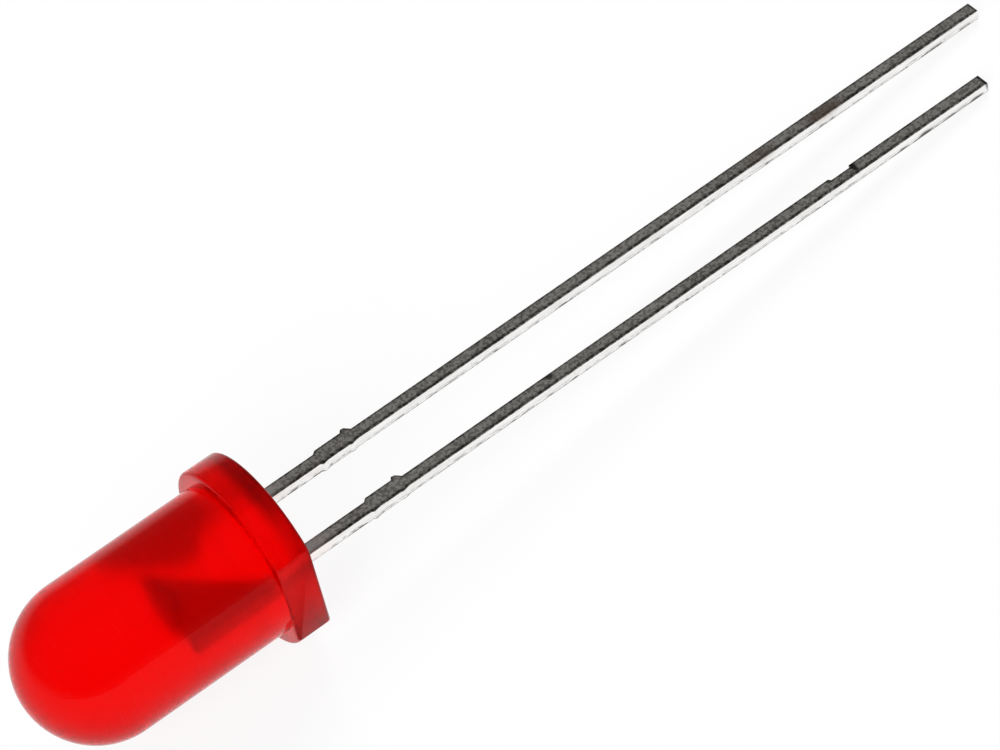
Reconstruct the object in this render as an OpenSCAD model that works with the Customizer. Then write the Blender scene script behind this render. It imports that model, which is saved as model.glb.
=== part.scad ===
// A 5 mm through-hole light-emitting diode, lying on its flange and on the
// tips of its two leads.
//
// Every piece is drawn in the frame of the lens: +X runs from the flange's
// base along the leads, -X runs to the top of the dome, +Y is the side of the
// anode, -Y the side of the cathode with the flat, and the leads are flat
// strips in the XY plane. at_rest() then tips the whole diode onto the floor
// about the middle of the flange's base, which stays the origin.

/* [Lens] */
// Diameter of the round barrel and of its dome
lens_d = 5.0; // [4.8:0.05:5.2]
// Height from the flange's base to the top of the dome
lens_h = 8.7; // [8.2:0.1:9.6]
// Diameter of the flange
flange_d = 5.9; // [5.6:0.05:6.2]
// Thickness of the flange
flange_h = 1.15; // [1:0.05:1.3]
// Rounding of the flange's two edges
flange_edge = 0.1; // [0.04:0.02:0.2]
// How far outside the barrel the flat lies that marks the cathode
flat_gap = 0.02; // [0.01:0.01:0.15]

/* [Leads] */
// Distance between the middles of the two leads
pitch = 2.54; // [2.5:0.02:2.6]
// Width of a lead, across the pair
lead_w = 0.45; // [0.4:0.01:0.5]
// Thickness of the strip that both leads are stamped from
lead_t = 0.40; // [0.36:0.01:0.5]
// Length of the anode lead below the flange
anode_len = 27.8; // [24:0.1:30]
// How much shorter the cathode lead is cut
short_by = 1.8; // [1:0.1:2.5]

/* [Tie bars] */
// Distance from the flange's base to the sheared stubs of the first tie bar
stub_at = 2.65; // [2.2:0.05:4]
// Length of each stub
stub_len = 1.3; // [1:0.05:1.6]
// How far a stub stands out from its lead
stub_out = 0.1; // [0.04:0.01:0.16]
// Height of the torn peak at the far end of a stub
stub_peak = 0.2; // [0.17:0.01:0.26]
// Distance from the flange's base to the second tie bar's notch
notch_at = 20.1; // [15:0.1:21]
// Length of that notch
notch_len = 0.8; // [0.5:0.05:1]
// Depth of that notch
notch_in = 0.09; // [0.04:0.01:0.12]

/* [Lead frame in the lens] */
// Height of the reflector cup's rim above the flange's base
cup_top = 4.1; // [3.9:0.05:4.2]
// Outside diameter of the reflector cup
cup_d = 1.2; // [1.1:0.05:1.3]
// Diameter of the cup's mouth
cup_mouth = 0.92; // [0.86:0.02:0.96]
// Diameter of the cup's floor
cup_floor = 0.5; // [0.46:0.02:0.56]
// Depth of the cup
cup_deep = 0.34; // [0.3:0.02:0.4]
// Height of the anode post above the flange's base
post_top = 4.5; // [4.4:0.05:4.7]

/* [Chip and wire] */
// Side of the square semiconductor die
die_w = 0.26; // [0.22:0.01:0.28]
// Height of the die
die_h = 0.14; // [0.1:0.01:0.18]
// Thickness of the silver glue under the die
glue_t = 0.02; // [0.015:0.005:0.03]
// Diameter of the gold bond wire
wire_d = 0.03; // [0.025:0.005:0.04]
// Radius of the bend at the top of the wire's loop
wire_bend = 0.14; // [0.08:0.02:0.2]
// Slope of the wire's long fall from that bend to the anode post, in degrees
wire_fall = 17; // [15:1:25]

/* [Hidden] */

lens_r = lens_d / 2;
flange_r = flange_d / 2;
flat_off = lens_r + flat_gap;
dome_at = lens_h - lens_r;
round_fn = 96;

// Middle of each lead
anode_y = pitch / 2;
cathode_y = -pitch / 2;
cathode_len = anode_len - short_by;

// Slope of the lying diode, as the tangent of its tip. It rests on the rounded
// edge of the flange and on the lower edge of both lead tips, and as the
// cathode lead is shorter, it rolls a little towards that side:
//   sin(roll) = short_by * slope / pitch
// Each pass of this function puts the last slope into that balance.
function rest_slope(slope = 0.1, passes = 8) =
    passes == 0 ? slope :
    let (
        roll_cos = sqrt(1 - pow(short_by * slope / pitch, 2)),
        drop = flange_r - flange_edge + flange_edge * sqrt(1 + slope * slope)
            - lead_t / 2 * roll_cos,
        reach = anode_len + flange_edge - (anode_y - lead_w / 2) * short_by / pitch
    )
    rest_slope(drop / reach, passes - 1);

tip_deg = atan(rest_slope());
roll_deg = asin(short_by * rest_slope() / pitch);

// Anvil: the head of the cathode lead, which carries the cup on the axis
anvil_top = cup_top - 0.1;
anvil_in = 0.76;
anvil_slope_top = anvil_top - 0.2;
anvil_slope_end = 1.35;
anvil_chamfer = 0.08;

// Post: the head of the anode lead, which takes the wire's far end
post_out = 1.85;
post_top_w = 0.44;
post_in = 0.65;
post_in_at = 2.7;
post_in_end = 1.6;
post_out_at = 1.9;
post_out_end = 1.0;

// The die stands on the glue on the cup's floor
floor_at = cup_top - cup_deep;
die_at = floor_at + glue_t;
die_top = die_at + die_h;

// Bond wire: a squashed ball on the die, a straight rise, a bend and a long
// straight fall to a flattened foot on the post
ball_r = 0.045;
ball_h = 0.03;
foot_w = 0.06;
foot_h = 0.02;
foot_len = 0.12;
foot_y = post_out - 0.2;
wire_r = wire_d / 2;
wire_fn = 24;

// Height of the bend's centre, and length of the fall: the line that leaves
// the foot at the given slope and just touches the bend
bend_at = post_top + foot_h + (foot_y - wire_bend) * tan(wire_fall)
    - wire_bend / cos(wire_fall);
fall_len = (foot_y - wire_bend) / cos(wire_fall) - wire_bend * tan(wire_fall);

// Sets the diode down on the floor, tips of the leads low
module at_rest() {
    rotate([roll_deg, tip_deg, 0]) children();
}

// A strip drawn in the XY plane, as thick as the lead stock
module stamped() {
    linear_extrude(height = lead_t, center = true) children();
}

// Half of a disc's section with both outer edges rounded
module rounded_half(r, h, edge) {
    translate([0, edge]) square([r, h - 2 * edge]);
    square([r - edge, h]);
    for (y = [edge, h - edge])
        translate([r - edge, y]) circle(r = edge, $fn = round_fn);
}

// Half section of the moulded lens: flange, barrel and dome
module lens_half() {
    rounded_half(flange_r, flange_h, flange_edge);
    square([lens_r, dome_at]);
    intersection() {
        translate([0, dome_at]) circle(r = lens_r, $fn = round_fn);
        translate([0, dome_at]) square(lens_r);
    }
}

module lens_body() {
    difference() {
        rotate([0, -90, 0]) rotate_extrude($fn = round_fn) lens_half();
        translate([-flange_h - 0.5, -flange_d, -flange_d / 2 - 1])
            cube([flange_h + 1, flange_d - flat_off, flange_d + 2]);
    }
}

module epoxy_lens() {
    color([0.93, 0.05, 0.05]) at_rest() difference() {
        lens_body();
        cathode_solid();
        anode_solid();
        die_solid();
        glue_solid();
        wire_solid();
    }
}

// Moves an edge's points to a lead's edge at the first tie bar
function beside(edge_y, points) = [for (p = points) [stub_at + p[0], edge_y + p[1]]];

// The torn stub of the first tie bar on a lead's +Y edge, towards the tip
function tie_stub(edge_y) = beside(edge_y, [
    [0, 0],
    [0.12, stub_out],
    [stub_len - 0.25, stub_out],
    [stub_len - 0.17, stub_peak],
    [stub_len - 0.05, stub_peak * 0.9],
    [stub_len + 0.1, 0]
]);

// Low burrs that the shear leaves on a lead's -Y edge, towards the flange
function tie_burr(edge_y) = beside(edge_y, [
    [stub_len, 0],
    [stub_len - 0.2, -0.05],
    [stub_len - 0.3, -0.02],
    [0.25, -0.02],
    [0.05, -0.06],
    [-0.05, 0]
]);

// The shallow notch of the second tie bar on a lead's +Y edge
function tie_notch(edge_y) = [
    [notch_at, edge_y],
    [notch_at + 0.06, edge_y - notch_in],
    [notch_at + notch_len, edge_y - notch_in],
    [notch_at + notch_len, edge_y]
];

module cathode_outline() {
    outer = cathode_y - lead_w / 2;
    inner = cathode_y + lead_w / 2;
    polygon(concat(
        [[cathode_len, outer]],
        tie_burr(outer),
        [
            [-anvil_top + anvil_chamfer, outer],
            [-anvil_top, outer + anvil_chamfer],
            [-anvil_top, anvil_in],
            [-anvil_slope_top, anvil_in],
            [-anvil_slope_end, inner + 0.12],
            [-anvil_slope_end + 0.35, inner]
        ],
        tie_stub(inner),
        tie_notch(inner),
        [[cathode_len, inner]]
    ));
}

module anode_outline() {
    outer = anode_y + lead_w / 2;
    inner = anode_y - lead_w / 2;
    polygon(concat(
        [[anode_len, inner]],
        tie_burr(inner),
        [
            [-post_in_end, inner],
            [-post_in_at + 0.5, post_in],
            [-post_in_at, post_in],
            [-post_top, post_out - post_top_w],
            [-post_top, post_out],
            [-post_out_at, post_out],
            [-post_out_end, outer]
        ],
        tie_stub(outer),
        [[anode_len, outer]]
    ));
}

// The upset head around the cup, which flares out of the anvil
module cup_head() {
    rotate([0, -90, 0]) {
        translate([0, 0, anvil_slope_top - 0.35])
            cylinder(h = 0.35, r1 = lead_t / 2, r2 = cup_d / 2, $fn = round_fn);
        translate([0, 0, anvil_slope_top])
            cylinder(h = cup_top - anvil_slope_top, r = cup_d / 2, $fn = round_fn);
    }
}

module cup_hollow() {
    slope = (cup_mouth - cup_floor) / 2 / cup_deep;
    over = 0.1;
    rotate([0, -90, 0])
        translate([0, 0, floor_at])
            cylinder(h = cup_deep + over, r1 = cup_floor / 2,
                     r2 = cup_mouth / 2 + slope * over, $fn = round_fn);
}

module cathode_solid() {
    difference() {
        union() {
            stamped() cathode_outline();
            cup_head();
        }
        cup_hollow();
    }
}

module anode_solid() {
    stamped() anode_outline();
}

module die_solid() {
    translate([-die_top, -die_w / 2, -die_w / 2]) cube([die_h, die_w, die_w]);
}

// Silver glue: a low round pad with a fillet's slope up to the die
module glue_solid() {
    difference() {
        rotate([0, -90, 0])
            translate([0, 0, floor_at])
                cylinder(h = glue_t * 2, r1 = cup_floor / 2 - 0.02, r2 = die_w * 0.74,
                         $fn = round_fn);
        die_solid();
    }
}

// A length of wire along X
module wire(length) {
    rotate([0, 90, 0]) cylinder(h = length, r = wire_r, $fn = wire_fn);
}

module wire_solid() {
    translate([-bend_at, wire_bend, 0]) rotate([0, 0, 180 - wire_fall]) {
        rotate_extrude(angle = 90 + wire_fall, $fn = round_fn)
            translate([wire_bend, 0]) circle(r = wire_r, $fn = wire_fn);
        translate([wire_bend, 0, 0]) rotate([0, 0, -90]) wire(fall_len);
        rotate([0, 0, 90 + wire_fall])
            translate([wire_bend, 0, 0]) rotate([0, 0, 90]) wire(bend_at - die_top);
    }
    translate([-die_top - ball_h, 0, 0]) rotate([0, 90, 0])
        cylinder(h = ball_h, r = ball_r, $fn = wire_fn);
    translate([-post_top - foot_h, foot_y - foot_len / 2, -foot_w / 2])
        cube([foot_h, foot_len, foot_w]);
}

module cathode_lead() {
    color([0.62, 0.61, 0.59]) at_rest() cathode_solid();
}

module anode_lead() {
    color([0.66, 0.65, 0.63]) at_rest() anode_solid();
}

module led_die() {
    color([0.35, 0.30, 0.28]) at_rest() die_solid();
}

module die_attach() {
    color([0.80, 0.80, 0.82]) at_rest() glue_solid();
}

module bond_wire() {
    color([0.95, 0.75, 0.25]) at_rest() wire_solid();
}

epoxy_lens();
cathode_lead();
anode_lead();
led_die();
die_attach();
bond_wire();
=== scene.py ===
# %% [markdown]
# # A red light-emitting diode, lying on a white table
#
# The object is a common 5 mm diode: a domed lens of red, slightly cloudy
# epoxy on a flange, and two long leads of tinned steel strip. Inside the
# lens the leads widen into an anvil and a post, which show through the
# resin as soft dark shapes.
#
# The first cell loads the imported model. It holds the sizes, and each new
# piece goes where that model says.

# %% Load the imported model
import math

import bmesh
import bpy
from mathutils import Matrix, Quaternion, Vector


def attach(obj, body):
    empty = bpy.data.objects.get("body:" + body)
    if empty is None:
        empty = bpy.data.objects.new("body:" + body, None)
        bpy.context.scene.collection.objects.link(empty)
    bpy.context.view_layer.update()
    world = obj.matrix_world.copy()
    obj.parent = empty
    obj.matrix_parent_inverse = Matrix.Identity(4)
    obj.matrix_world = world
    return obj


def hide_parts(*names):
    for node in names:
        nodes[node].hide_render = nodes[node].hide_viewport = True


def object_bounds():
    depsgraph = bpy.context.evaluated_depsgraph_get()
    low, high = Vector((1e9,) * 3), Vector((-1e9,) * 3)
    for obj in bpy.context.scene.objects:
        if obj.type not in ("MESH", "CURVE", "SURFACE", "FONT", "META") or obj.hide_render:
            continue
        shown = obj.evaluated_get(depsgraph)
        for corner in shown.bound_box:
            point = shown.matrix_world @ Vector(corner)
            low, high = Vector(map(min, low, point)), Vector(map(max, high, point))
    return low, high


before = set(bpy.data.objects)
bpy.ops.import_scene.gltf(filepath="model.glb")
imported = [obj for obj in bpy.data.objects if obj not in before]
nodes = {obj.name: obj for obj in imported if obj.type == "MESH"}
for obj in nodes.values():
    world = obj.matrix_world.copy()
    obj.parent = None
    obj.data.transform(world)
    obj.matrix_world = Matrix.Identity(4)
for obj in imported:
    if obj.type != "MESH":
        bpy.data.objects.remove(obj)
cad_low, cad_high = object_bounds()
print("pieces:", ", ".join(sorted(nodes)))
print("size in mm:", [round(1000 * v, 2) for v in cad_high - cad_low])

# %% [markdown]
# ## How the diode lies
#
# It rests on its flange and on the tips of both leads, so its axis tips down
# by almost six degrees, and because one lead is shorter, it also rolls by
# four. It is much easier to model a turned part upright. Every new piece is
# therefore made in an upright frame, as the diode would stand on a circuit
# board, with the dome up and one Blender unit for a millimetre. Blender's
# bevel and merge tools round off at about a micrometre, which is coarse for
# edges of 0.03 mm in metres, and that is the second reason for this scale.
#
# `LIE` takes a point from that upright frame to its place on the table.

# %% The upright frame and the way it lies
MM = 0.001
TIP = math.radians(5.78386)
ROLL = math.radians(4.11632)

AT_REST = Matrix.Rotation(TIP, 4, "Y") @ Matrix.Rotation(ROLL, 4, "X")
# Upright Z is the way to the dome, which lies along -X
UPRIGHT = Matrix(((0, 0, -1, 0), (0, 1, 0, 0), (1, 0, 0, 0), (0, 0, 0, 1)))
LIE = AT_REST @ UPRIGHT @ Matrix.Scale(MM, 4)

LENS_R = 2.5
LENS_H = 8.7
FLANGE_R = 2.95
FLANGE_H = 1.15
FLAT_OFF = 2.52
DOME_AT = LENS_H - LENS_R
PITCH = 2.54
LEAD_W = 0.45
LEAD_T = 0.40
CATHODE_LEN = 26.0
dome_top = LIE @ Vector((0, 0, LENS_H))
print("dome's top lies at", [round(v / MM, 2) for v in dome_top], "mm")

# %% [markdown]
# ## Camera
#
# The camera looks down from about 46 degrees, turned a little so that the
# leads run from lower left to upper right. A long lens is used, from 150 mm
# away, which keeps the two leads nearly parallel. A camera looks along its
# own -Z, so `to_track_quat` points it, and one more turn about that axis
# leans the picture.

# %% Create the camera
CAMERA_AT = Vector((-26.42, -99.33, 108.61)) * MM
LOOK_AT = Vector((8.812, 1.139, -2.0)) * MM
LEAN = math.radians(-24.608)
FOCAL_MM = 187.02

camera = bpy.data.objects.new("camera", bpy.data.cameras.new("camera"))
bpy.context.scene.collection.objects.link(camera)
camera.location = CAMERA_AT
camera.rotation_mode = "QUATERNION"
aim = (LOOK_AT - CAMERA_AT).to_track_quat("-Z", "Y")
camera.rotation_quaternion = aim @ Quaternion((0, 0, 1), LEAN)
camera.data.sensor_width = 36
camera.data.lens = FOCAL_MM
camera.data.clip_start = 0.01
bpy.context.scene.camera = camera
print("distance in mm:", round((LOOK_AT - CAMERA_AT).length / MM, 1))

# %% [markdown]
# ## Table and light
#
# The diode lies on a plain white sweep under a soft light from all round,
# with a dark opening overhead where the camera looks in. Polished metal
# shows this best: a face that looks up turns grey, and one that looks at the
# table turns white.
#
# Materials and the sky are made of shader nodes. Two small helpers keep that
# short: one empties a node tree, and one adds a node with its settings, its
# values and its links.


# %% Helpers for shader nodes
def tree_of(owner):
    """The owner's node tree, emptied."""
    owner.use_nodes = True
    owner.node_tree.nodes.clear()
    return owner.node_tree


def add(tree, kind, inputs=None, **settings):
    """A new node, with its settings and the values or links of its inputs."""
    node = tree.nodes.new(kind)
    for name, value in settings.items():
        setattr(node, name, value)
    for name, value in (inputs or {}).items():
        socket = node.inputs[name]
        if isinstance(value, bpy.types.NodeSocket):
            tree.links.new(value, socket)
        else:
            socket.default_value = value
    return node


def math_of(tree, operation, a, b, clamp=False):
    """Two values, added, multiplied or compared."""
    return add(tree, "ShaderNodeMath", {0: a, 1: b}, operation=operation,
               use_clamp=clamp).outputs[0]


def times(tree, a, b):
    return math_of(tree, "MULTIPLY", a, b)


def ramp(tree, value, low, high, to_low=0.0, to_high=1.0):
    """Fades softly from to_low to to_high as the value goes from low to high."""
    return add(tree, "ShaderNodeMapRange", {
        "Value": value, "From Min": low, "From Max": high, "To Min": to_low,
        "To Max": to_high}, interpolation_type="SMOOTHSTEP").outputs[0]


def mixed(tree, factor, a, b):
    """One colour fading into another."""
    return add(tree, "ShaderNodeMix", {0: factor, 6: a, 7: b},
               data_type="RGBA").outputs[2]


def surface(tree, shader):
    """Makes a shader the material's surface."""
    out = add(tree, "ShaderNodeOutputMaterial")
    tree.links.new(shader.outputs[0], out.inputs["Surface"])


# %% [markdown]
# The table is an ordinary white surface, mixed with a white glow that only
# the eye, reflections and the view through the resin see. The glow makes the
# background white without putting more light on the diode, and what is left
# of the white surface keeps the shadow.

# %% The table
TABLE_HALF = 0.6
TABLE_WHITE = 0.9
GLOW_SEEN = 0.88
GLOW_THROUGH = 1.0

bpy.ops.mesh.primitive_plane_add(size=2 * TABLE_HALF, location=(0, 0, cad_low.z))
table = bpy.context.object
table.name = "table"
white = bpy.data.materials.new("white table")
tree = tree_of(white)
rays = add(tree, "ShaderNodeLightPath").outputs
cloth = add(tree, "ShaderNodeBsdfDiffuse",
            {"Color": (TABLE_WHITE, TABLE_WHITE, TABLE_WHITE, 1)})
glow = add(tree, "ShaderNodeEmission", {"Color": (1, 1, 1, 1), "Strength": 1.0})
seen = math_of(tree, "MAXIMUM", rays["Is Camera Ray"], rays["Is Glossy Ray"])
share = add(tree, "ShaderNodeMapRange", {
    "Value": rays["Is Transmission Ray"], "To Min": times(tree, seen, GLOW_SEEN),
    "To Max": GLOW_THROUGH}).outputs[0]
blend = add(tree, "ShaderNodeMixShader", {"Fac": share})
tree.links.new(cloth.outputs[0], blend.inputs[1])
tree.links.new(glow.outputs[0], blend.inputs[2])
surface(tree, blend)
table.data.materials.append(white)
print("table top at z =", round(cad_low.z / MM, 3), "mm")

# %% [markdown]
# The sky is white at the horizon and darkens upwards, as in a light tent
# with an open top, and on the side where the camera stands it is darker.
# Only reflections and the light on the diode show that. The eye sees the sky
# white all over, and so does the view through the resin: cloudy epoxy passes
# light on from grain to grain until it glows evenly.

# %% The sky
TENT_TOP = (0.0, 0.24)
OPENING = 0.24
CAMERA_SIDE = (-0.33, -0.94, 0.0)
CAMERA_SIDE_FADE = (0.2, 0.9)
CAMERA_SIDE_LEVEL = 0.35

world = bpy.data.worlds.new("light tent")
bpy.context.scene.world = world
tree = tree_of(world)
toward = add(tree, "ShaderNodeTexCoord").outputs["Generated"]
height = add(tree, "ShaderNodeSeparateXYZ", {"Vector": toward}).outputs["Z"]
forward = add(tree, "ShaderNodeVectorMath", {0: toward, 1: CAMERA_SIDE},
              operation="DOT_PRODUCT").outputs["Value"]
level = times(tree, ramp(tree, height, *TENT_TOP, 1.0, OPENING),
              ramp(tree, forward, *CAMERA_SIDE_FADE, 1.0, CAMERA_SIDE_LEVEL))
rays = add(tree, "ShaderNodeLightPath").outputs
level = math_of(tree, "MAXIMUM", level, rays["Is Camera Ray"])
level = math_of(tree, "MAXIMUM", level, rays["Is Transmission Ray"])
sky = add(tree, "ShaderNodeBackground", {"Strength": level})
out = add(tree, "ShaderNodeOutputWorld")
tree.links.new(sky.outputs[0], out.inputs["Surface"])
print("sky fades between heights", TENT_TOP)

# %% [markdown]
# Two large soft lamps, one on each side, make up for the dark opening. Their
# power was set with a grey card: a card of colour 0.5 renders as 0.5, lying,
# standing or turned to the camera. They are kept out of reflections, so that
# they leave no round patches on the dome.


# %% Two soft lamps
def soft_lamp(name, where, size, power):
    """A round area lamp that shines at the diode."""
    lamp = bpy.data.objects.new(name, bpy.data.lights.new(name, "AREA"))
    bpy.context.scene.collection.objects.link(lamp)
    lamp.data.shape = "DISK"
    lamp.data.size = size
    lamp.data.energy = power
    lamp.location = where
    lamp.rotation_mode = "QUATERNION"
    lamp.rotation_quaternion = (-Vector(where)).to_track_quat("-Z", "Y")
    lamp.visible_glossy = False
    lamp.visible_transmission = False


LAMP_WIDTH = 0.30

soft_lamp("front lamp", (-0.32, -0.26, 0.30), LAMP_WIDTH, 2.15)
soft_lamp("back lamp", (0.28, 0.24, 0.34), LAMP_WIDTH, 1.9)
print("lamps are", LAMP_WIDTH, "m wide")

# %% [markdown]
# ## Selecting by place
#
# In a window a modeller clicks on the rings and edges that the next tool
# works on. Here they are picked by a test, such as "every edge at this
# height". An operator acts on all that is selected, and loading leaves the
# model's pieces selected, so each step first deselects everything.


# %% Helpers for selecting
# Places nearer than this, in millimetres, count as one
NEAR = 1e-4


def only(piece):
    """Selects one piece and nothing else, in object mode."""
    if bpy.context.object and bpy.context.object.mode != "OBJECT":
        bpy.ops.object.mode_set(mode="OBJECT")
    bpy.ops.object.select_all(action="DESELECT")
    piece.select_set(True)
    bpy.context.view_layer.objects.active = piece


def edit(piece):
    """Opens one piece in edit mode."""
    only(piece)
    bpy.ops.object.mode_set(mode="EDIT")


def pick(kind, test):
    """Selects what passes the test, in the piece that is in edit mode."""
    bpy.ops.mesh.select_mode(type=kind)
    bpy.ops.mesh.select_all(action="DESELECT")
    mesh = bpy.context.object.data
    shape = bmesh.from_edit_mesh(mesh)
    members = {"VERT": shape.verts, "EDGE": shape.edges, "FACE": shape.faces}[kind]
    picked = [m for m in members if test(m)]
    for m in picked:
        m.select_set(True)
    bmesh.update_edit_mesh(mesh)
    return len(picked)


def at_height(z):
    """A test for edges that lie level at this height."""
    return lambda edge: all(abs(v.co.z - z) < NEAR for v in edge.verts)


def upright_edge(edge):
    """An edge of a block that runs up its side, over more than 0.1 mm."""
    return abs(edge.verts[0].co.z - edge.verts[1].co.z) > 0.1


# %% [markdown]
# Every new piece starts as a primitive and is pulled into shape ring by ring.
# A few more helpers stand for what a modeller does by hand again and again:
# to add a primitive, to pull and widen what is selected, to make an object's
# place and scale part of its mesh, and to join or cut with a boolean. Where
# an edge of one piece meets a corner of the other, a boolean can leave two
# points in one place, so they are merged each time.


# %% Helpers for shaping
def settle():
    """Moves the object's own place and scale into its mesh."""
    bpy.ops.object.transform_apply(location=True, rotation=True, scale=True)


def start(kind, name, **settings):
    """A new primitive, with everything else left unselected."""
    if bpy.context.object and bpy.context.object.mode != "OBJECT":
        bpy.ops.object.mode_set(mode="OBJECT")
    bpy.ops.object.select_all(action="DESELECT")
    getattr(bpy.ops.mesh, "primitive_" + kind + "_add")(**settings)
    piece = bpy.context.object
    piece.name = name
    return piece


def start_block(name, size, centre):
    """A cube, made a block of this size."""
    block = start("cube", name, size=1, location=centre)
    block.scale = size
    settle()
    return block


def pull(x=0.0, y=0.0, z=0.0):
    """Extrudes what is selected, and moves the new part."""
    bpy.ops.mesh.extrude_region_move(TRANSFORM_OT_translate={"value": (x, y, z)})


def widen(factor):
    """Scales what is selected away from the upright axis."""
    bpy.ops.transform.resize(value=(factor, factor, 1), center_override=(0, 0, 0))


def merge_all():
    """Merges points that lie in one place, in the piece in edit mode."""
    bpy.ops.mesh.select_all(action="SELECT")
    bpy.ops.mesh.remove_doubles(threshold=NEAR)


def join(piece, other, operation="UNION"):
    """A boolean with another piece, which is then removed."""
    only(piece)
    step = piece.modifiers.new(operation.lower(), "BOOLEAN")
    step.operation = operation
    step.solver = "EXACT"
    step.object = other
    bpy.ops.object.modifier_apply(modifier=step.name)
    bpy.data.objects.remove(other)
    edit(piece)
    merge_all()
    bpy.ops.object.mode_set(mode="OBJECT")


def smooth(piece, degrees):
    """Shades the piece smooth, but keeps edges that turn more than this sharp."""
    only(piece)
    bpy.ops.object.shade_smooth_by_angle(angle=math.radians(degrees))


def place(piece, way):
    """Moves the piece in its mesh, so that its object stays at the origin."""
    only(piece)
    piece.matrix_world = way
    settle()


# %% [markdown]
# ## The lens
#
# The real lens is cast upside down in a polished mould, which gives the
# glassy dome and barrel. It could be made as a profile spun round its axis,
# or from a sphere. The sphere is quicker here: its upper half is the dome,
# and its rim is drawn down to the flange, out, down again and closed. Unlike
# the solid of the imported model, this skin has no hollow for the leads, so
# that the metal stands straight in the resin, and light bends only once on
# its way to it.

# %% Dome, barrel and flange
ROUND = 128

lens = start("uv_sphere", "lens", segments=ROUND, ring_count=ROUND // 2,
             radius=LENS_R, location=(0, 0, DOME_AT))
settle()
edit(lens)
pick("VERT", lambda v: v.co.z < DOME_AT - NEAR)
bpy.ops.mesh.delete(type="VERT")
pick("EDGE", at_height(DOME_AT))
pull(z=FLANGE_H - DOME_AT)
pull()
widen(FLANGE_R / LENS_R)
pull(z=-FLANGE_H)
bpy.ops.mesh.edge_face_add()
bpy.ops.mesh.select_all(action="SELECT")
bpy.ops.mesh.normals_make_consistent(inside=False)
print("lens so far:", len(bmesh.from_edit_mesh(lens.data).faces), "faces")

# %% [markdown]
# The flat on one side of the flange marks the cathode. One bisect cuts it,
# because only the flange reaches past that plane. Then all outer edges that
# turn sharply are rounded at once: the two rims of the flange and the flat's
# outline. The inner corner, where the barrel stands on the flange, is sharp
# in the mould and stays sharp.

# %% The cathode flat and rounded edges
EDGE_R = 0.1
SHARP_TURN = math.radians(50)

bpy.ops.mesh.bisect(plane_co=(0, -FLAT_OFF, 0), plane_no=(0, -1, 0), use_fill=True,
                    clear_outer=True, threshold=1e-5)
sharp = pick("EDGE", lambda e: len(e.link_faces) == 2 and e.is_convex
             and e.calc_face_angle() > SHARP_TURN)
bpy.ops.mesh.bevel(offset=EDGE_R, offset_type="OFFSET", segments=4, profile=0.5)
bpy.ops.object.mode_set(mode="OBJECT")
print("rounded", sharp, "edges")

# %% [markdown]
# The base is the open top of the mould, and the resin creeps up the leads
# there before it sets. Each lead gets a small skirt for this: a block on the
# lead's outline, with its upright edges rounded, drawn down in steps that
# hug the lead more and more. A boolean joins both skirts to the lens, so that
# the resin keeps one unbroken skin.

# %% Skirts of resin round the leads
# Each step's height, and how far the resin stands off the lead there
SKIRT = ((0.0, 0.20), (-0.02, 0.13), (-0.05, 0.08), (-0.10, 0.045), (-0.17, 0.02))
SKIRT_IN_LENS = 0.3
SKIRT_R = 0.16


def skirt(y):
    """One skirt, round the lead that stands at this y."""
    wide = 2 * SKIRT[0][1]
    block = start_block("skirt", (LEAD_T + wide, LEAD_W + wide, SKIRT_IN_LENS),
                        (0, y, SKIRT_IN_LENS / 2))
    edit(block)
    pick("EDGE", upright_edge)
    bpy.ops.mesh.bevel(offset=SKIRT_R, segments=5)
    pick("FACE", lambda f: f.normal.z < -0.9)
    for (z, out), (next_z, next_out) in zip(SKIRT, SKIRT[1:]):
        pull(z=next_z - z)
        bpy.ops.transform.resize(
            value=((LEAD_T + 2 * next_out) / (LEAD_T + 2 * out),
                   (LEAD_W + 2 * next_out) / (LEAD_W + 2 * out), 1),
            center_override=(0, y, 0))
    bpy.ops.object.mode_set(mode="OBJECT")
    return block


for y in (-PITCH / 2, PITCH / 2):
    join(lens, skirt(y))
smooth(lens, 32)
place(lens, LIE)
print("lens:", len(lens.data.polygons), "faces")

# %% [markdown]
# ## The leads
#
# Both leads are stamped from one strip. The imported model has their exact
# outline, with the torn stubs of the first tie bar and the notch of the
# second. A punch also rolls the edges of the strip over by a few hundredths
# of a millimetre, and those narrow bands catch the light, so each lead is a
# copy of the model's piece with its long edges rounded. The model's mesh is
# loose triangles: the copy is merged first, and flat areas are made single
# faces again.
#
# The rolled edges are painted darker in the material, partly as thin plating
# and partly as painted shade along the edges. They get a value in an attribute
# that the material reads later: 1 on an edge's band, which fades to 0 over a
# narrow border that is inset into the strip's two broad faces. A second one is
# 1 on the sheared sides and tips, whose surface is quite different. First come
# the tests that tell those faces and edges apart.

# %% Tests for the strip's faces and edges
# The attribute that carries the rolled edges' painted shade and wear
EDGE_SHADE_AND_WEAR = "edge shade and wear"
SHEARED = "sheared side"
# A face's normal lies across the strip below the first and along its
# thickness above the second
ACROSS, ALONG = 0.05, 0.999
PLANE_SLACK = 2e-3


def on_broad_plane(x):
    """A place that lies in one of the strip's two faces."""
    return abs(abs(x) - LEAD_T / 2) < PLANE_SLACK


def broad(face):
    """One of the strip's two faces, but not a facet of the cup."""
    return abs(face.normal.x) > ALONG and on_broad_plane(face.calc_center_median().x)


def on_the_strip(edge):
    """An edge between one of the strip's two faces and its stamped side."""
    if len(edge.link_faces) != 2:
        return False
    flat = sorted(abs(f.normal.x) for f in edge.link_faces)
    return (flat[0] < ACROSS and flat[1] > 1 - ACROSS
            and all(on_broad_plane(v.co.x) for v in edge.verts))


def spot_of(vertex):
    """A point's place, rounded so that it can be looked up."""
    return tuple(round(v, 4) for v in vertex.co)


# %% Copy a lead and round its stamped edges
ROLLED = 0.05
BORDER = 0.06
STILL_FLAT = math.radians(0.5)


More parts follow.
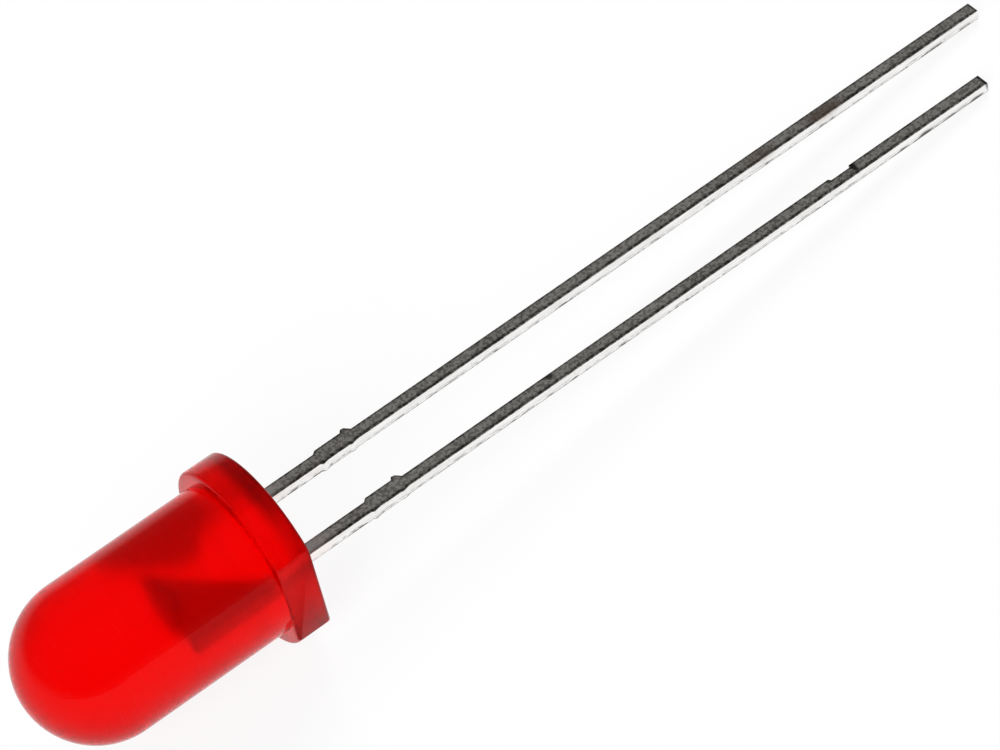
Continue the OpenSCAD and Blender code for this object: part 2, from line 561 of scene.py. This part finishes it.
def mark_faces(lead, outline):
    """Writes both attributes, once the border is inset inside the given outline."""
    shape = bmesh.from_edit_mesh(lead.data)
    edge_shade_and_wear = shape.loops.layers.float.new(EDGE_SHADE_AND_WEAR)
    sheared = shape.loops.layers.float.new(SHEARED)
    for face in shape.faces:
        lean = abs(face.normal.x)
        for corner in face.loops:
            on_rim = broad(face) and spot_of(corner.vert) in outline
            # The rolled edges' band, which takes the painted edge shade and wear
            corner[edge_shade_and_wear] = 1.0 if ACROSS < lean < ALONG or on_rim else 0.0
            corner[sheared] = 1.0 if lean <= ACROSS else 0.0
    bmesh.update_edit_mesh(lead.data)


def stamped_lead(name, node):
    """A copy of a packed lead, with its edges rounded and marked."""
    lead = nodes[node].copy()
    lead.data = nodes[node].data.copy()
    lead.name = name
    lead.parent = None
    for key in list(lead.keys()):
        del lead[key]
    bpy.context.scene.collection.objects.link(lead)
    place(lead, LIE.inverted())
    bpy.ops.mesh.customdata_custom_splitnormals_clear()
    edit(lead)
    merge_all()
    bpy.ops.mesh.dissolve_limited(angle_limit=STILL_FLAT)
    edges = pick("EDGE", on_the_strip)
    bpy.ops.mesh.bevel(offset=ROLLED, offset_type="OFFSET", segments=3,
                       profile=0.5, clamp_overlap=False)
    pick("FACE", broad)
    shape = bmesh.from_edit_mesh(lead.data)
    outline = {spot_of(v) for f in shape.faces if f.select for v in f.verts}
    bpy.ops.mesh.inset(thickness=BORDER, depth=0, use_even_offset=True)
    mark_faces(lead, outline)
    smooth(lead, 35)
    place(lead, LIE)
    print(name, "has", edges, "rounded edges,", len(lead.data.polygons), "faces")
    return lead


cathode = stamped_lead("cathode", "cathode_lead")
anode = stamped_lead("anode", "anode_lead")

# %% [markdown]
# ## The chip, its glue and its wire
#
# The light comes from a chip a quarter of a millimetre wide, which is glued
# into the cup with silver-filled epoxy. In the cloudy lens it is only a
# shade, but the lens can be taken off the model, so it is made like the
# rest. The chip is a sawn block: its upright edges are slightly chipped,
# and a round gold pad on top takes the wire. The block is a cube that is
# bevelled. The pad could be inset and raised from the block's top, but a
# square makes a poor circle, so it is a thin cylinder, sunk into the block
# and joined by a boolean.

# %% The chip
CUP_FLOOR = 3.76
GLUE_T = 0.02
CHIP_W = 0.26
CHIP_H = 0.14
CHIP_AT = CUP_FLOOR + GLUE_T
CHIP_TOP = CHIP_AT + CHIP_H
CORNER_R = 0.012
RIM_R = 0.004
PAD_R = 0.055
PAD_T = 0.004
PAD_RIM_R = 0.0015

body_h = CHIP_H - PAD_T
chip = start_block("chip", (CHIP_W, CHIP_W, body_h), (0, 0, CHIP_AT + body_h / 2))
edit(chip)
pick("EDGE", upright_edge)
bpy.ops.mesh.bevel(offset=CORNER_R, segments=2)
pick("EDGE", at_height(CHIP_AT + body_h))
bpy.ops.mesh.bevel(offset=RIM_R, segments=2)
pad = start("cylinder", "pad", vertices=48, radius=PAD_R, depth=4 * PAD_T,
            location=(0, 0, CHIP_TOP - 2 * PAD_T))
edit(pad)
pick("EDGE", at_height(2 * PAD_T))
bpy.ops.mesh.bevel(offset=PAD_RIM_R, segments=2)
bpy.ops.object.mode_set(mode="OBJECT")
settle()
join(chip, pad)
print("chip top at", round(CHIP_TOP, 3), "mm and", len(chip.data.polygons), "faces")

# %% [markdown]
# The glue is a drop pressed flat by the chip, so that it rises round it like
# water round a stone. A sculpted drop would be rounder, but the whole of it
# is half a millimetre wide and lies under the resin. So it starts as a flat
# disc, its top is inset ring by ring, and each ring is lifted a little more.
# Where the chip sits, a boolean takes its shape out.

# %% The glue
DROP_R = 0.225
DROP_T = 0.006
RINGS = ((0.008, 0.004), (0.012, 0.006), (0.015, 0.009), (0.02, 0.012))
LEVEL_RING = 0.03

glue = start("cylinder", "glue", vertices=64, radius=DROP_R, depth=DROP_T,
             location=(0, 0, CUP_FLOOR + DROP_T / 2))
settle()
edit(glue)
pick("FACE", lambda f: f.normal.z > 0.9)
for inward, upward in RINGS:
    bpy.ops.mesh.inset(thickness=inward, depth=upward)
bpy.ops.mesh.inset(thickness=LEVEL_RING, depth=0.0)
print("glue rises", round(DROP_T + sum(up for _, up in RINGS), 3), "mm")
bpy.ops.object.mode_set(mode="OBJECT")
stone = start_block("stone", (CHIP_W, CHIP_W, CHIP_H), (0, 0, CHIP_AT + CHIP_H / 2))
join(glue, stone, "DIFFERENCE")

# %% [markdown]
# The gold wire is welded to the pad as a squashed ball, rises, bends over and
# falls in a straight line to the post, where a tool presses it flat. A curve
# with a bevel would make an even wire, but its two ends change shape, so it
# is drawn as one long extrusion instead: rings for the ball, a straight pull,
# a spin for the bend, the long fall, and for the foot four rings that get
# wide and flat and then close in to a cut end.

# %% The bond wire
WIRE_R = 0.015
BALL_FOOT_R = 0.036
# Each ring of the ball: how far up from the last, and its radius
BALL = ((0.007, 0.045), (0.010, 0.045), (0.008, 0.036), (0.005, 0.018),
        (0.012, WIRE_R))
BEND_R = 0.14
FALL = math.radians(17)
POST_TOP = 4.5
FOOT_T = 0.02
FOOT_Y = 1.65
FALL_END = 1.60
# The bend's height and the fall's length follow from the post and the slope
BEND_AT = (POST_TOP + FOOT_T + (FOOT_Y - BEND_R) * math.tan(FALL)
           - BEND_R / math.cos(FALL))
FALL_LEN = (FALL_END - BEND_R) / math.cos(FALL) - BEND_R * math.tan(FALL)
# Each ring of the foot: its y and z, and how much wider and thinner it gets
FOOT = ((1.625, 4.520, 1.3, 0.85), (1.645, 4.512, 1.25, 0.8),
        (1.68, 4.510, 1.1, 1.0), (1.705, 4.508, 0.8, 0.7))

wire = start("circle", "wire", vertices=20, radius=BALL_FOOT_R, fill_type="NGON",
             location=(0, 0, CHIP_TOP))
settle()
edit(wire)
bpy.ops.mesh.select_mode(type="FACE")
bpy.ops.mesh.select_all(action="SELECT")
z, wide = CHIP_TOP, BALL_FOOT_R
for up, radius in BALL:
    pull(z=up)
    widen(radius / wide)
    z, wide = z + up, radius
pull(z=BEND_AT - z)
bpy.ops.mesh.spin(steps=14, angle=math.radians(90) + FALL,
                  center=(0, BEND_R, BEND_AT), axis=(1, 0, 0))
pull(y=FALL_LEN * math.cos(FALL), z=-FALL_LEN * math.sin(FALL))
y, z = FALL_END, POST_TOP + FOOT_T + (FOOT_Y - FALL_END) * math.tan(FALL)
for next_y, next_z, broad_by, thin_by in FOOT:
    pull(y=next_y - y, z=next_z - z)
    bpy.ops.transform.resize(value=(broad_by, 1, thin_by),
                             center_override=(0, next_y, next_z))
    y, z = next_y, next_z
merge_all()
bpy.ops.mesh.normals_make_consistent(inside=False)
bpy.ops.object.mode_set(mode="OBJECT")
top = max(v.co.z for v in wire.data.vertices)
far = max(v.co.y for v in wire.data.vertices)
print("wire reaches z =", round(top, 3), "and y =", round(far, 3), "mm")

for piece in (chip, glue, wire):
    smooth(piece, 40)
    place(piece, LIE)

# %% [markdown]
# ## Patterns that several finishes share
#
# All patterns are worked out in millimetres in the upright frame. A Mapping
# node turns a point of the lying diode upright again, so a streak along a
# lead is simply a pattern that is stretched along z.
#
# Each pattern is a node group, built once and placed with its own values:
# - blotches: clouds of a given size, for mottled plating and cloudy resin;
# - drawn streaks: fine lines along the strip or wire, from rolling and
#   drawing;
# - specks: scattered dots, for pits, dust and flakes;
# - spot: one soft-edged patch at a given place, for a stain, a nick or a cut.


# %% Helpers for patterns
TO_UPRIGHT = tuple((AT_REST @ UPRIGHT).inverted().to_euler("XYZ"))


def upright_place(tree):
    """The point's place in the upright frame, in millimetres."""
    here = add(tree, "ShaderNodeTexCoord").outputs["Object"]
    return add(tree, "ShaderNodeMapping", {
        "Vector": here, "Rotation": TO_UPRIGHT, "Scale": (1 / MM,) * 3}).outputs[0]


def pattern(name, **inputs):
    """A new node group: a Vector and the given inputs go in, a Mask comes out."""
    tree = bpy.data.node_groups.new(name, "ShaderNodeTree")
    face = tree.interface
    face.new_socket(name="Vector", in_out="INPUT", socket_type="NodeSocketVector")
    for label, value in inputs.items():
        kind = "NodeSocketVector" if isinstance(value, tuple) else "NodeSocketFloat"
        made = face.new_socket(name=label, in_out="INPUT", socket_type=kind)
        made.default_value = value
    face.new_socket(name="Mask", in_out="OUTPUT", socket_type="NodeSocketFloat")
    return tree, add(tree, "NodeGroupInput").outputs


def put_out(tree, mask):
    """Sends a mask out of its node group."""
    out = add(tree, "NodeGroupOutput")
    tree.links.new(mask, out.inputs["Mask"])


def vector_of(tree, operation, a, b=(0, 0, 0)):
    """Two vectors, subtracted or divided, or the length of one."""
    node = add(tree, "ShaderNodeVectorMath", {0: a, 1: b}, operation=operation)
    return node.outputs["Value" if operation == "LENGTH" else "Vector"]


def use(tree, group, here, **inputs):
    """Places a pattern in a material, with its own values."""
    values = {"Vector": here}
    values.update(inputs)
    return add(tree, "ShaderNodeGroup", values, node_tree=group).outputs["Mask"]


# %% Blotches and drawn streaks
blotches, given = pattern("blotches", Size=1.0, Low=0.35, High=0.65)
sized = vector_of(blotches, "DIVIDE", given["Vector"], given["Size"])
cloud = add(blotches, "ShaderNodeTexNoise", {
    "Vector": sized, "Scale": 1.0, "Detail": 3.0, "Roughness": 0.6}).outputs[0]
put_out(blotches, ramp(blotches, cloud, given["Low"], given["High"]))

streaks, given = pattern("drawn streaks", Stretch=(0.03, 0.03, 1.5),
                         Low=0.35, High=0.65)
sized = vector_of(streaks, "DIVIDE", given["Vector"], given["Stretch"])
lines = add(streaks, "ShaderNodeTexNoise", {
    "Vector": sized, "Scale": 1.0, "Detail": 2.0, "Roughness": 0.55}).outputs[0]
put_out(streaks, ramp(streaks, lines, given["Low"], given["High"]))

# %% Specks and spot
specks, given = pattern("specks", Spacing=0.3, Reach=0.12, Share=0.5)
sized = vector_of(specks, "DIVIDE", given["Vector"], given["Spacing"])
cells = add(specks, "ShaderNodeTexVoronoi", {"Vector": sized, "Scale": 1.0}).outputs
chance = add(specks, "ShaderNodeSeparateXYZ", {"Vector": cells["Color"]}).outputs["X"]
kept = math_of(specks, "LESS_THAN", chance, given["Share"])
near = ramp(specks, cells["Distance"], given["Reach"], 0.0)
put_out(specks, times(specks, near, kept))

spot, given = pattern("spot", Centre=(0.0, 0.0, 0.0), Reach=(1.0, 1.0, 1.0))
offset = vector_of(spot, "SUBTRACT", given["Vector"], given["Centre"])
offset = vector_of(spot, "DIVIDE", offset, given["Reach"])
put_out(spot, ramp(spot, vector_of(spot, "LENGTH", offset), 1.0, 0.4))
print("patterns:", ", ".join(g.name for g in (blotches, streaks, specks, spot)))


# %% Helpers for finishes
def finish_of(name):
    """A new material and its empty node tree."""
    made = bpy.data.materials.new(name)
    return made, tree_of(made)


def wear(piece, *materials):
    """Gives a piece its materials, one slot for each."""
    piece.data.materials.clear()
    for material in materials:
        piece.data.materials.append(material)


def rough_between(tree, mask, low, high):
    """A roughness that goes from low to high with a mask."""
    return ramp(tree, mask, 0.0, 1.0, low, high)


def bumped(tree, height, strength, distance):
    """A bump of the given height in millimetres."""
    return add(tree, "ShaderNodeBump", {
        "Height": height, "Strength": strength, "Distance": distance * MM}).outputs[0]


# %% [markdown]
# ## Red cloudy epoxy
#
# The resin is dyed and lightly filled, so it passes light but blurs what
# lies inside. A volume with scattering would be true to life and very
# noisy. Rough transmission gives the same blur on the surface: the dome
# glows, and the metal inside is a soft shadow. A smooth coat on top is the
# polished skin from the mould, and its tint keeps the depth of the red at
# grazing angles.
#
# The dye is a little uneven, the skin has fine scuffs and dust that dull the
# coat, and the cast base is rougher and rippled. The flange's rim is painted a
# deeper red towards the base as painted shade, its back edge is painted darker
# still, and the flat is painted a shade darker too. Geometry's Backfacing keeps
# that painted shade to the outside: light that is already in the resin isn't
# dimmed again on its way out. It also leaves the base smooth from within, where
# light that grazes it turns back whole, and that makes the flange glow.

# %% Epoxy: patterns and places
RED = (1.0, 0.004, 0.005, 1)
PALER = (1.0, 0.010, 0.008, 1)
# Painted shade: a deeper red for the rim towards the base, which also tints the dust
SHADE_AND_DUST_RED = (0.24, 0.002, 0.002, 1)
# Painted shade: a thin dark red line along the rim's back edge
BACK_EDGE_SHADE_RED = (0.07, 0.002, 0.002, 1)
# Painted shade: the flat is painted a darker red
FLAT_SHADE_RED = (0.56, 0.002, 0.002, 1)
# Each effect fades in from its first height, or first y, to its second
CAST_AT = (0.03, -0.005)
RIM_AT = (0.002, 0.02)
SHADE_AT = (0.80, 0.34)
BACK_EDGE_AT = (0.16, 0.02)
FLAT_AT = (0.08 - FLAT_OFF, 0.02 - FLAT_OFF)
BELOW_TOP = (FLANGE_H + 0.01, FLANGE_H - 0.05)
# On the flat's side the rim's painted shade is only this strong
FLAT_SIDE = (-2.6, -1.0)
FLAT_SIDE_SHADE = 0.6

epoxy, tree = finish_of("red cloudy epoxy")
here = upright_place(tree)
axes = add(tree, "ShaderNodeSeparateXYZ", {"Vector": here}).outputs
inside = add(tree, "ShaderNodeNewGeometry").outputs["Backfacing"]
clouds = use(tree, blotches, here, Size=0.9)
fine = use(tree, blotches, here, Size=0.12, Low=0.3, High=0.7)
scuffs = use(tree, streaks, here, Stretch=(0.9, 0.9, 0.12), Low=0.56, High=0.72)
dust = use(tree, specks, here, Spacing=0.55, Reach=0.09, Share=0.35)

cast = ramp(tree, axes["Z"], *CAST_AT)
rim = times(tree, ramp(tree, axes["Z"], *RIM_AT),
            math_of(tree, "SUBTRACT", 1.0, inside))
by_side = ramp(tree, axes["Y"], *FLAT_SIDE, FLAT_SIDE_SHADE, 1.0)
# Painted shade: the rim darkens towards the base, less on the flat's side
rim_shade = times(tree, ramp(tree, axes["Z"], *SHADE_AT), by_side)
rim_shade = times(tree, rim_shade, rim)
# Painted shade: the line along the rim's back edge, on the outside only
back_edge_shade = times(tree, ramp(tree, axes["Z"], *BACK_EDGE_AT), rim)
# Painted shade: the flat darker, up to just below the flange's top
flat = times(tree, ramp(tree, axes["Y"], *FLAT_AT),
             ramp(tree, axes["Z"], *BELOW_TOP))
flat = times(tree, flat, rim)
print("epoxy's places:", len(tree.nodes), "nodes")

# %% Epoxy: colour, blur, coat and relief
dye_and_shade = mixed(tree, clouds, RED, PALER)
# The next three mixes paint shade into the colour: the rim, the flat and the rim's back
# edge
dye_and_shade = mixed(tree, rim_shade, dye_and_shade, SHADE_AND_DUST_RED)
dye_and_shade = mixed(tree, flat, dye_and_shade, FLAT_SHADE_RED)
dye_and_shade = mixed(tree, back_edge_shade, dye_and_shade, BACK_EDGE_SHADE_RED)
dye_and_shade = mixed(tree, times(tree, dust, 0.25), dye_and_shade, SHADE_AND_DUST_RED)

blur = rough_between(tree, clouds, 0.36, 0.42)
blur = math_of(tree, "MAXIMUM", blur, times(tree, cast, 0.5))
smoother = ramp(tree, times(tree, cast, inside), 0.0, 1.0, 1.0, 0.24)
blur = times(tree, blur, smoother)
skin = math_of(tree, "SUBTRACT", 1.0, times(tree, scuffs, 0.06))
skin = math_of(tree, "SUBTRACT", skin, times(tree, dust, 0.3), clamp=True)
relief = math_of(tree, "ADD", times(tree, fine, 0.15), times(tree, clouds, cast))
relief = math_of(tree, "ADD", relief, times(tree, dust, 0.3))
shader = add(tree, "ShaderNodeBsdfPrincipled", {
    "Base Color": dye_and_shade, "Roughness": blur, "IOR": 1.5, "Specular IOR Level": 0.0,
    "Transmission Weight": 1.0, "Coat Weight": skin, "Coat Roughness": 0.03,
    "Coat IOR": 1.17, "Coat Tint": (1, 0.05, 0.05, 1),
    "Normal": bumped(tree, relief, 0.6, 0.012)})
surface(tree, shader)
wear(lens, epoxy)
print("epoxy has", len(tree.nodes), "nodes")

# %% [markdown]
# ## Tinned steel
#
# The strip was rolled, plated with tin, stamped and handled. Its broad faces
# are a mottled satin: fine grain from the plating, faint streaks from
# rolling, and larger clouds where it has dulled. The rolled edges are painted
# dark, partly as thin plating and partly as painted shade, with black ragged
# patches. The sheared sides are smoother and brighter, with a broken dark line
# along their lower half. Both masks come from the attributes that were written
# on the mesh. A shader can also find edges by itself, from how the surface
# bends, but only on a dense mesh.
#
# A few marks belong to one place: a painted pink glow where the leads leave
# the lens, which stands for its red light on them, two brownish stains on the
# long lead, a nick on the short one, painted shade in the corners of its notch,
# its cut tip, and burrs in a row under its last stretch. Inside the lens the
# frame is plated with silver, painted dark as painted shade so that it shows
# through the resin, and painted brightest near the base as painted light that
# helps the flange glow.

# %% Tin: colours and marks
TIN = (1.0, 0.96, 0.91, 1)
DULL = (0.33, 0.31, 0.277, 1)
SHEAR = (0.98, 0.975, 0.965, 1)
# Bare steel for the pits, and painted shade and wear on the rolled edges
BARE_STEEL_AND_SHADE = (0.12, 0.112, 0.105, 1)
STAIN = (0.30, 0.20, 0.15, 1)
# Black for the nick, the tip and the burrs, and painted shade in the notch and along the
# edges
SOOT_AND_SHADE = (0.05, 0.045, 0.04, 1)
# Painted light: the lens's red light on the leads where they leave it
PAINTED_LENS_GLOW = (1.0, 0.90, 0.86, 1)
# Painted shade and light inside the lens: dark silver that shows as a shadow through the
# resin, and brighter silver near the base
SHADED_SILVER = (0.62, 0.60, 0.57, 1)
LIT_SILVER = (0.97, 0.96, 0.94, 1)
CATHODE_Y = -PITCH / 2
ANODE_Y = PITCH / 2
BURR_Y = CATHODE_Y - 0.23
# Each mark's centre, its reach each way, its colour and its strength. Those
# at x = 0.2 are on the upper faces and those at x = -0.2 on the lower ones
MARKS = (
    # Painted light: a pink glow where each lead leaves the lens
    ((0, ANODE_Y, -0.4), (0.5, 0.4, 1.4), PAINTED_LENS_GLOW, 0.7),
    ((0, CATHODE_Y, -0.4), (0.5, 0.4, 1.4), PAINTED_LENS_GLOW, 0.7),
    ((0.2, ANODE_Y - 0.05, -21.8), (0.3, 0.30, 0.9), STAIN, 0.7),
    ((0.2, ANODE_Y - 0.05, -19.3), (0.3, 0.30, 0.8), STAIN, 0.35),
    ((0.2, CATHODE_Y + 0.12, -9.4), (0.16, 0.2, 0.16), SOOT_AND_SHADE, 0.8),
    # Painted shade in the corners of the notch
    ((0.2, CATHODE_Y + 0.08, -20.95), (0.4, 0.36, 0.13), SOOT_AND_SHADE, 0.95),
    ((0.2, CATHODE_Y + 0.16, -20.05), (0.4, 0.16, 0.10), SOOT_AND_SHADE, 0.7),
    ((0.2, CATHODE_Y, -CATHODE_LEN), (0.5, 0.6, 0.14), SOOT_AND_SHADE, 0.85),
    ((-0.2, BURR_Y, -22.6), (0.14, 0.1, 0.35), SOOT_AND_SHADE, 0.8),
    ((-0.2, BURR_Y, -23.5), (0.24, 0.1, 0.45), SOOT_AND_SHADE, 0.9),
    ((-0.2, BURR_Y, -24.5), (0.16, 0.1, 0.40), SOOT_AND_SHADE, 0.9),
    ((-0.2, BURR_Y, -25.5), (0.20, 0.1, 0.40), SOOT_AND_SHADE, 0.9),
)
print("marks on the leads:", len(MARKS))

# %% Tin: patterns
tin, tree = finish_of("tinned steel")
here = upright_place(tree)
axes = add(tree, "ShaderNodeSeparateXYZ", {"Vector": here}).outputs
edge = add(tree, "ShaderNodeAttribute", attribute_name=EDGE_SHADE_AND_WEAR).outputs["Fac"]
side = add(tree, "ShaderNodeAttribute", attribute_name=SHEARED).outputs["Fac"]
grain = use(tree, blotches, here, Size=0.11, Low=0.45, High=0.57)
clouds = use(tree, blotches, here, Size=1.4)
rolling = use(tree, streaks, here, Stretch=(0.05, 0.035, 1.1))
pits = use(tree, specks, here, Spacing=0.28, Reach=0.16, Share=0.35)
dashes = use(tree, streaks, here, Stretch=(0.06, 0.06, 0.3), Low=0.47, High=0.57)
ragged = times(tree, use(tree, blotches, here, Size=0.2, Low=0.5, High=0.6), 0.7)

mottle = math_of(tree, "ADD", times(tree, grain, 0.6), times(tree, clouds, 0.25))
mottle = math_of(tree, "ADD", mottle, times(tree, rolling, 0.15))
lower_half = ramp(tree, axes["X"], 0.0, -0.15)
# A broken dark line along the lower half of the sheared sides
lower_dark_line = times(tree, times(tree, dashes, side), lower_half)
lower_dark_line = times(tree, lower_dark_line, ramp(tree, clouds, 0.0, 0.8, 0.35, 0.95))
broken = math_of(tree, "ADD", 0.65, times(tree, grain, 0.35))
print("tin's patterns:", len(tree.nodes), "nodes")

# %% Tin: colour, gloss and relief
metal = mixed(tree, mottle, TIN, DULL)
shear = mixed(tree, times(tree, rolling, 0.2), SHEAR, DULL)
metal = mixed(tree, side, metal, shear)
metal = mixed(tree, times(tree, pits, 0.5), metal, BARE_STEEL_AND_SHADE)
# Painted shade and wear: the rolled edges darkened, with black ragged patches
metal = mixed(tree, times(tree, edge, broken), metal, BARE_STEEL_AND_SHADE)
metal = mixed(tree, times(tree, ragged, ramp(tree, edge, 0.1, 0.5)), metal, SOOT_AND_SHADE)
metal = mixed(tree, lower_dark_line, metal, BARE_STEEL_AND_SHADE)
for centre, reach, colour, strength in MARKS:
    mark = use(tree, spot, here, Centre=centre, Reach=reach)
    metal = mixed(tree, times(tree, mark, strength), metal, colour)
# Painted shade and light: inside the lens the silver is dark, and brighter near the base
plated = ramp(tree, axes["Z"], 0.0, 0.3)
silver = mixed(tree, ramp(tree, axes["Z"], 0.8, 1.3), LIT_SILVER, SHADED_SILVER)
silver = mixed(tree, times(tree, mottle, 0.2), silver, DULL)
metal = mixed(tree, plated, metal, silver)

gloss = rough_between(tree, mottle, 0.20, 0.36)
gloss = math_of(tree, "ADD", gloss, times(tree, edge, 0.12))
relief = math_of(tree, "ADD", times(tree, grain, 0.6), times(tree, rolling, 0.3))
relief = math_of(tree, "SUBTRACT", relief, times(tree, pits, 0.8))
shader = add(tree, "ShaderNodeBsdfPrincipled", {
    "Base Color": metal, "Roughness": gloss, "Metallic": 1.0,
    "Normal": bumped(tree, relief, 0.5, 0.006)})
surface(tree, shader)
wear(cathode, tin)
wear(anode, tin)
print("tin has", len(tree.nodes), "nodes")

# %% [markdown]
# ## Chip, gold and silver glue
#
# The three small pieces inside use the same patterns. The chip is a dark
# crystal with sawing marks on its sides, and its pad is gold. The glue is
# resin full of silver flakes, and the wire is drawn gold. The pad belongs to
# the chip's mesh, so it gets a second material slot, and its faces are picked
# by their distance from the axis.

# %% Gold
GOLD = (1.0, 0.70, 0.30, 1)
WARMER = (0.85, 0.55, 0.22, 1)

gold, tree = finish_of("drawn gold")
here = upright_place(tree)
lines = use(tree, streaks, here, Stretch=(0.01, 0.2, 0.2))
soft = use(tree, blotches, here, Size=0.08)
shader = add(tree, "ShaderNodeBsdfPrincipled", {
    "Base Color": mixed(tree, soft, GOLD, WARMER),
    "Roughness": rough_between(tree, lines, 0.16, 0.32), "Metallic": 1.0,
    "Normal": bumped(tree, lines, 0.4, 0.001)})
surface(tree, shader)
wear(wire, gold)
print("gold has", len(tree.nodes), "nodes")

# %% Crystal
CRYSTAL = (0.10, 0.075, 0.065, 1)
SAWN = (0.22, 0.17, 0.15, 1)
CHIPPED = (0.4, 0.34, 0.3, 1)

crystal, tree = finish_of("dark crystal")
here = upright_place(tree)
sawing = use(tree, streaks, here, Stretch=(0.12, 0.12, 0.006))
chips = use(tree, specks, here, Spacing=0.02, Reach=0.3, Share=0.25)
dark = mixed(tree, sawing, CRYSTAL, SAWN)
shader = add(tree, "ShaderNodeBsdfPrincipled", {
    "Base Color": mixed(tree, times(tree, chips, 0.6), dark, CHIPPED),
    "Roughness": rough_between(tree, sawing, 0.25, 0.5), "Specular IOR Level": 0.6,
    "Normal": bumped(tree, math_of(tree, "ADD", sawing, chips), 0.5, 0.002)})
surface(tree, shader)
wear(chip, crystal, gold)
print("crystal has", len(tree.nodes), "nodes")

# %% Glue with silver flakes
RESIN = (0.50, 0.49, 0.48, 1)
FLAKE = (0.82, 0.81, 0.79, 1)

paste, tree = finish_of("silver glue")
here = upright_place(tree)
flakes = use(tree, specks, here, Spacing=0.012, Reach=0.5, Share=0.6)
soft = use(tree, blotches, here, Size=0.06)
shader = add(tree, "ShaderNodeBsdfPrincipled", {
    "Base Color": mixed(tree, flakes, RESIN, FLAKE),
    "Roughness": rough_between(tree, soft, 0.35, 0.6),
    "Metallic": rough_between(tree, flakes, 0.7, 1.0),
    "Normal": bumped(tree, math_of(tree, "ADD", flakes, soft), 0.5, 0.003)})
surface(tree, shader)
wear(glue, paste)
print("glue has", len(tree.nodes), "nodes")

# %% The pad's faces take the gold
to_upright = LIE.inverted()


def on_pad(face):
    """A face of the pad, above the block's top and near the axis."""
    centre = to_upright @ face.calc_center_median()
    return centre.z > CHIP_TOP - 0.9 * PAD_T and centre.xy.length < PAD_R + RIM_R


edit(chip)
chip.active_material_index = 1
print("pad faces:", pick("FACE", on_pad))
bpy.ops.object.material_slot_assign()
bpy.ops.object.mode_set(mode="OBJECT")

# %% [markdown]
# ## What each piece stands for
#
# Every piece here replaces the solid of the same shape in the imported model.
# That solid stays in the simulation for weight and contact. A piece names
# the body that it moves with and the solid it hides.

# %% Tell the frame what each piece is
for piece, slot, node in ((lens, "red_epoxy", "epoxy_lens"),
                          (cathode, "cathode_metal", "cathode_lead"),
                          (anode, "anode_metal", "anode_lead"),
                          (chip, "semiconductor", "led_die"),
                          (glue, "silver_glue", "die_attach"),
                          (wire, "gold_wire", "bond_wire")):
    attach(piece, "root")
    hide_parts(node)
    print(piece.name, "replaces", node)

# %% [markdown]
# ## Finish
#
# The Standard view shows colours as they are written.

# %% Look
bpy.context.scene.view_settings.view_transform = "Standard"
